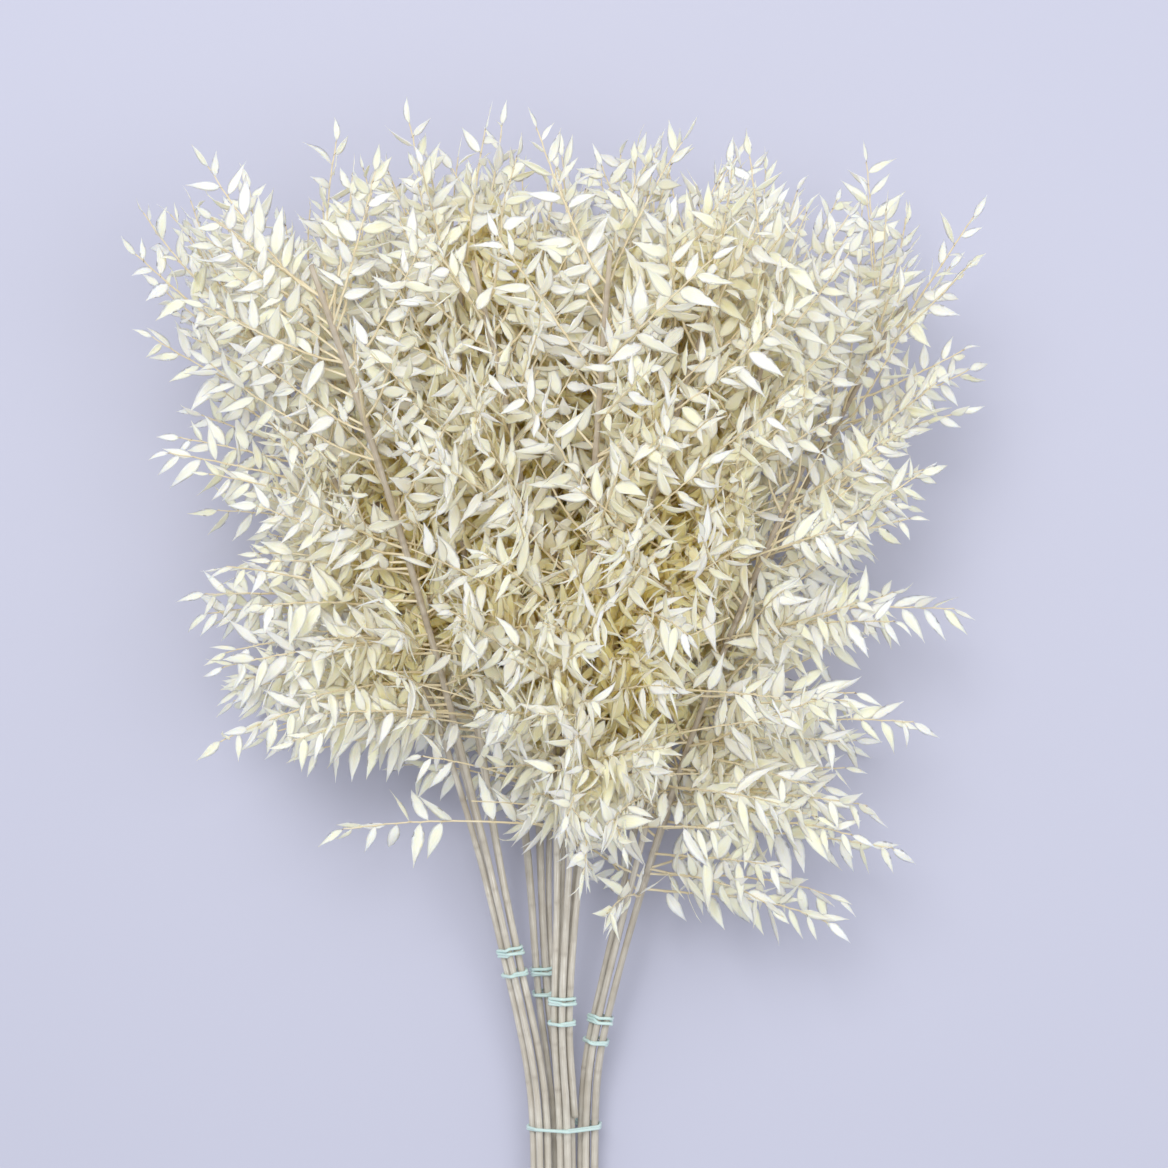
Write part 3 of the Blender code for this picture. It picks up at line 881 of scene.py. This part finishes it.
rng = np.random.default_rng(21)
start = 0
for name, rows in leaf_rows.items():
    # Each leaf's share of painted shade, from how shut in it is.
    painted_shade = shut_in[start : start + len(rows)]
    start += len(rows)
    points, faces, attributes = build_leaves(rows, painted_shade, rng)
    leaves = make_piece(f"leaves_{name}", points, faces, leaf_skin, attributes)
    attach(leaves, "root")
    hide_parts(f"foliage_{name}")
print("faces in the last cane's leaves:", len(faces))

# %% [markdown]
# ## The twigs themselves
#
# A twig is 1.9 mm thick where it leaves the cane and 0.8 mm at its tip. At every leaf it thickens and
# changes direction slightly, and a dark dried scale sits at the foot of most leaves.

# %% Build twigs
TWIG_RADIUS = (0.00095, 0.00038)  # at the cane and at the tip
TWIG_SIDES = 6
TWIG_SWELLING = 0.35  # as a share of its radius
TWIG_KINK = 0.0004
SCALE_LENGTH = 0.0024
SCALE_SHARE = 0.75  # of the leaves that have a scale
SCALE_EDGES = ((1, 2), (2, 3), (3, 4), (4, 1))
SCALE_FACES = [[0, j, i] for i, j in SCALE_EDGES] + [[5, i, j] for i, j in SCALE_EDGES]


def twig_attributes(grain, age):
    """What the woody material reads. A twig has no cut ends, and one colour at every height."""
    nothing = np.zeros(len(grain))
    return {"grain": grain, "height": nothing, "age": np.broadcast_to(age, nothing.shape), "cut": nothing}


def build_twig(twig, rows, rng):
    """The twig's tube. It is thicker, and kinks a little, at each leaf."""
    line, across = twig
    count = max(int(length_of(line) / 0.0022), 10)
    line = evenly(line, count)
    gaps = np.linalg.norm(line[:, None] - rows[None, :, :3], axis=2)
    swelling = np.exp(-((gaps.min(axis=1) / 0.0011) ** 2))
    sides = np.where(np.argmin(gaps, axis=1) % 2, 1.0, -1.0)
    t = np.linspace(0, 1, count)
    taper = TWIG_RADIUS[0] + (TWIG_RADIUS[1] - TWIG_RADIUS[0]) * t**0.8
    radii = taper * (1 + TWIG_SWELLING * swelling)
    line = line + across * (sides * swelling * TWIG_KINK)[:, None]
    points, faces, grain = tube(line, radii, TWIG_SIDES)
    age = np.repeat(0.35 * swelling * rng.uniform(0.2, 1.0, count), TWIG_SIDES)
    return pressed(points), faces, twig_attributes(grain, age)


def build_scales(bases, headings, rng):
    """Small dried scales: four-sided darts that lie along the stalk of each leaf."""
    shells = []
    for base, heading in zip(bases, headings):
        side = square_to(rng.normal(0, 1, 3), heading)
        up = np.cross(heading, side)
        length = SCALE_LENGTH * rng.uniform(0.6, 1.3)
        thick = length * 0.22
        corners = [side * thick, up * thick * 0.6, -side * thick, -up * thick * 0.6]
        foot, point = base - heading * length * 0.35, base + heading * length
        points = np.array([foot, *(base + corner for corner in corners), point])
        shells.append((pressed(points), SCALE_FACES, twig_attributes(points, rng.uniform(0.35, 1.0))))
    return shells


rng = np.random.default_rng(34)
for name, grown in twigs.items():
    shells = []
    for twig, rows in zip(grown, twig_leaves[name]):
        shells.append(build_twig(twig, rows, rng))
        some = rows[rng.random(len(rows)) < SCALE_SHARE]
        shells += build_scales(some[:, :3], some[:, 3:6], rng)
    points, faces, attributes = joined(shells)
    piece = make_piece(f"twigs_{name}", points, faces, twig_skin, attributes)
    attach(piece, "root")
    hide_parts(f"foliage_{name}")
print("faces in the last cane's twigs:", len(faces))

# %% [markdown]
# ## The canes
#
# A cane isn't a smooth pipe. It is faintly ribbed, swells where a twig leaves it and at the bare joints
# lower down, and is a little uneven in between. Some canes are darker than others. Where a cane was
# cut, the pith in the middle has dried back below the rim.

# %% Build canes
CANE_SIDES = 14
CANE_STEP = 0.0026  # between the rings of a cane
CANE_RIBS = 0.018  # as a share of its radius, like the next three
CANE_UNEVEN = 0.022
BARE_SWELLING, TWIG_ROOT_SWELLING = 0.07, 0.20
JOINT_SPACING = 0.034  # where the cane is bare
RING_AGE, CANE_AGE = 0.36, 0.22  # how dark a joint's ring, and a whole cane, may be


def build_cane(name, rng):
    """The points, faces and attributes of one cane."""
    line, measured = canes[name]
    count = int(length_of(line) / CANE_STEP)
    line = evenly(line, count)
    t = np.linspace(0, 1, count)
    widths = np.interp(t, np.linspace(0, 1, len(measured)), measured)
    base = np.polyval(np.polyfit(t, widths, 3), t)
    roots = np.array([twig[0][0] for twig in twigs[name]])
    from_twig = np.linalg.norm(line[:, None] - roots[None], axis=2).min(axis=1)
    along = t * length_of(line) + rng.uniform(0, JOINT_SPACING)
    from_joint = np.abs((along + JOINT_SPACING / 2) % JOINT_SPACING - JOINT_SPACING / 2)
    bare = line[:, 1] < roots[:, 1].min() - 0.004
    swelling = np.where(bare, np.exp(-((from_joint / 0.0016) ** 2)), np.exp(-((from_twig / 0.0026) ** 2)))
    uneven = np.interp(along, np.arange(0, 1, 0.02), rng.normal(0, CANE_UNEVEN, 50))
    radii = base * (1 + uneven + np.where(bare, BARE_SWELLING, TWIG_ROOT_SWELLING) * swelling)

    tangents = unit(np.gradient(line, axis=0))
    first, last = tangents[0], tangents[-1]
    line = np.vstack([line[0] + first * 0.0006, line[0], line, line[-1], line[-1] - last * 0.0005])
    tangents = np.vstack([first, first, tangents, last, last])
    radii = np.concatenate([[0.35 * radii[0], 0.62 * radii[0]], radii, [0.62 * radii[-1], 0.3 * radii[-1]]])
    points, faces, grain = tube(line, radii, CANE_SIDES, ribs=CANE_RIBS, tangents=tangents)

    swelling = np.concatenate([[0, 0], swelling, [0, 0]])
    ring_age = RING_AGE * swelling**2 * rng.uniform(0.15, 1.0, len(line)) + rng.uniform(0.0, CANE_AGE)
    height = smooth_step(np.concatenate([[0, 0], t, [1, 1]]), 0.25, 0.85)
    cut = np.concatenate([[0.9, 1.0], np.zeros(count), [0.25, 0.0]])
    ring_age[-3:] = [0.5, 0.7, 0.8]
    spread = np.repeat(np.stack([height, ring_age, cut], axis=1), CANE_SIDES, axis=0)
    attributes = {"grain": grain, "height": spread[:, 0], "age": spread[:, 1], "cut": spread[:, 2]}
    return points, faces, attributes


rng = np.random.default_rng(55)
for name in canes:
    points, faces, attributes = build_cane(name, rng)
    cane = make_piece(f"cane_{name}", points, faces, cane_skin, attributes)
    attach(cane, "root")
    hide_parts(f"stem_{name}")
print("faces in the last cane:", len(faces))

# %% [markdown]
# ## The elastic bands
#
# A stretched band takes the shortest way round the canes: straight from one to the next, and round
# each that it touches. For every direction, the cane that lies furthest that way is the one the band
# touches, which gives the whole loop with no solver. The band is wound more than once, so it climbs
# slowly, and it must cross itself to come back to its start. There it rides up over its own strand. On
# a leaning bunch it slants, to stay square to the canes. A bunch's upper band goes round three times,
# and every other band twice.

# %% Build bands
STRAND_RADIUS = 0.00105
STRAND_SIDES = 10
STEPS_ROUND = 72
BUNCH_RADIUS = 0.0075
CROSSING_ANGLE = 70  # degrees on either side of a crossing where the strand rises
CROSSING_RISE = 2.1  # at a crossing, in strand radii
LEAN_STEP = 0.01  # on either side of the place where a bunch's lean is measured


def cane_at(name, y):
    """A cane's middle and radius at this place along the bundle, or None if it doesn't reach."""
    line, measured = canes[name]
    if not line[0, 1] < y < line[-1, 1]:
        return None
    middle = np.array([np.interp(y, line[:, 1], line[:, axis]) for axis in range(3)])
    return middle, float(np.interp(y, np.linspace(line[0, 1], line[-1, 1], len(measured)), measured))


def lean_at(names, y):
    """How far these canes go sideways for each metre along the bundle, on average."""
    pairs = [(cane_at(name, y - LEAN_STEP), cane_at(name, y + LEAN_STEP)) for name in names]
    shifts = [after[0][0] - before[0][0] for before, after in pairs if before and after]
    return float(np.mean(shifts)) / (2 * LEAN_STEP)


def band_line(names, y, pitch, turns, crossing):
    """A closed line wound round these canes. It crosses itself on the side that crossing names."""
    points = []
    steps = turns * STEPS_ROUND
    slant = -BUNCH_RADIUS * lean_at(names, y)
    for k in range(steps):
        share = k / steps
        angle = math.radians(360 * turns * share + crossing - 180 * (turns - 1))
        height = y + pitch * math.cos(2 * math.pi * share) + slant * math.cos(angle)
        held = [place for place in (cane_at(name, height) for name in names) if place]
        outward = np.array([math.cos(angle), 0, math.sin(angle)])
        middle, radius = max(held, key=lambda place: place[0] @ outward + place[1])
        lift = 0.0
        for over in range(1, turns):
            off = abs(share - 0.5 - over / (2 * turns)) * turns * 360
            if off < CROSSING_ANGLE:
                lift += CROSSING_RISE * STRAND_RADIUS * math.cos(math.radians(off / CROSSING_ANGLE * 90)) ** 2
        points.append(middle + outward * (radius * 1.04 + STRAND_RADIUS + lift))
    points = np.array(points)
    for _ in range(2):
        points = 0.25 * np.roll(points, 1, axis=0) + 0.5 * points + 0.25 * np.roll(points, -1, axis=0)
    return points


def build_band(line):
    """The points, faces and grain of a closed round strand along a closed line."""
    closed = np.vstack([line[-1:], line, line[:1]])
    tangents = unit(np.gradient(closed, axis=0))[1:-1]
    outward = square_to(line - line.mean(axis=0), tangents)
    sideways = np.cross(tangents, outward)
    angles = np.arange(STRAND_SIDES) * 2 * math.pi / STRAND_SIDES
    points = line[:, None] + STRAND_RADIUS * ring_around(angles, outward, sideways)
    grain = grain_of(angles, STRAND_RADIUS, np.linspace(0, length_of(line), len(line)))
    return points.reshape(-1, 3), tube_faces(len(line), STRAND_SIDES, True), grain


for node in band_nodes:
    low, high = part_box(node)
    y = (low[1] + high[1]) / 2
    if node == "main_band":
        names, turns, crossing = list(canes), 2, 95
    else:
        bunch = node.split("_")[1]
        names = [name for name in canes if name[0] == bunch]
        turns, crossing = (3, 62) if node.endswith("upper") else (2, 110)
    pitch = (1.25 if turns == 2 else 2.1) * STRAND_RADIUS
    points, faces, grain = build_band(band_line(names, y, pitch, turns, crossing))
    strand = make_piece(f"strand_{node}", points, faces, band_skin, {"grain": grain})
    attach(strand, "root")
    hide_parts(node)
print("bands:", band_nodes)

# %% [markdown]
# ## Table, light and camera
#
# The bundle lies on a plain pale surface. One large soft light from the upper left shapes the leaves,
# a second, weaker one opens the shadows, and a pale sky fills the rest. Light that gets in between pale
# leaves bounces on from leaf to leaf many times, so the paths may be long, and a higher gamma lifts the
# middle tones. The camera looks straight down.

# %% Table
FLOOR_COLOUR = (0.425, 0.438, 0.588, 1)
FLOOR_PALE = (0.495, 0.505, 0.64, 1)


def floor_material():
    made, tree, surface = new_material("pale_table")
    place = add(tree, "TexCoord").outputs["Object"]
    clouds = use_group(tree, cloud_group, Place=place, Size=0.35, Contrast=0.5)
    shade = calculate(tree, "MULTIPLY", clouds, 0.12)
    tree.links.new(blend_colours(tree, shade, FLOOR_COLOUR, FLOOR_PALE), surface.inputs["Base Color"])
    surface.inputs["Roughness"].default_value = 0.75
    return made


bpy.ops.mesh.primitive_plane_add(size=8, location=(0, 0, 0))
table = bpy.context.object
table.name = "pale_table"
table.data.materials.append(floor_material())


# %% Lights
def soft_light(name, place, aim, size, power, colour):
    """A square area light that faces a point."""
    data = bpy.data.lights.new(name, "AREA")
    data.size, data.energy, data.color = size, power, colour
    light = bpy.data.objects.new(name, data)
    direction = np.array(aim) - np.array(place)
    light.location = place
    light.rotation_euler = Vector(direction).to_track_quat("-Z", "Y").to_euler()
    bpy.context.scene.collection.objects.link(light)


soft_light("window", (-0.40, 0.95, 2.1), (0, 0.1, 0.1), 1.0, 31, (1.0, 0.99, 0.97))
soft_light("reflector", (0.9, 0.0, 1.9), (0, 0.1, 0.1), 1.2, 12, (1.0, 1.0, 0.99))
sky = bpy.data.worlds.new("pale_sky")
sky.use_nodes = True
sky.node_tree.nodes["Background"].inputs["Color"].default_value = (0.94, 0.96, 1.0, 1)
sky.node_tree.nodes["Background"].inputs["Strength"].default_value = 0.58
bpy.context.scene.world = sky
finish = bpy.context.scene.view_settings
finish.view_transform, finish.gamma = "Standard", 1.35
paths = bpy.context.scene.cycles
paths.max_bounces, paths.diffuse_bounces, paths.transmission_bounces = 28, 14, 28

# %% Camera
CAMERA_HEIGHT = 1.75
VIEW_WIDTH = 0.7475  # at the height of the head's middle
HEAD_MIDDLE = 0.13
VIEW_SHIFT = (0.0175, 0.0750)  # of the view's middle from the middle of the box, across and along
middle = [(low + high) / 2 for low, high in zip(*cad_box)]
camera_data = bpy.data.cameras.new("camera")
camera_data.sensor_width = 36
camera_data.lens = 36 * (CAMERA_HEIGHT - HEAD_MIDDLE) / VIEW_WIDTH
camera = bpy.data.objects.new("camera", camera_data)
camera.location = (middle[0] + VIEW_SHIFT[0], middle[1] + VIEW_SHIFT[1], CAMERA_HEIGHT)
bpy.context.scene.collection.objects.link(camera)
bpy.context.scene.camera = camera
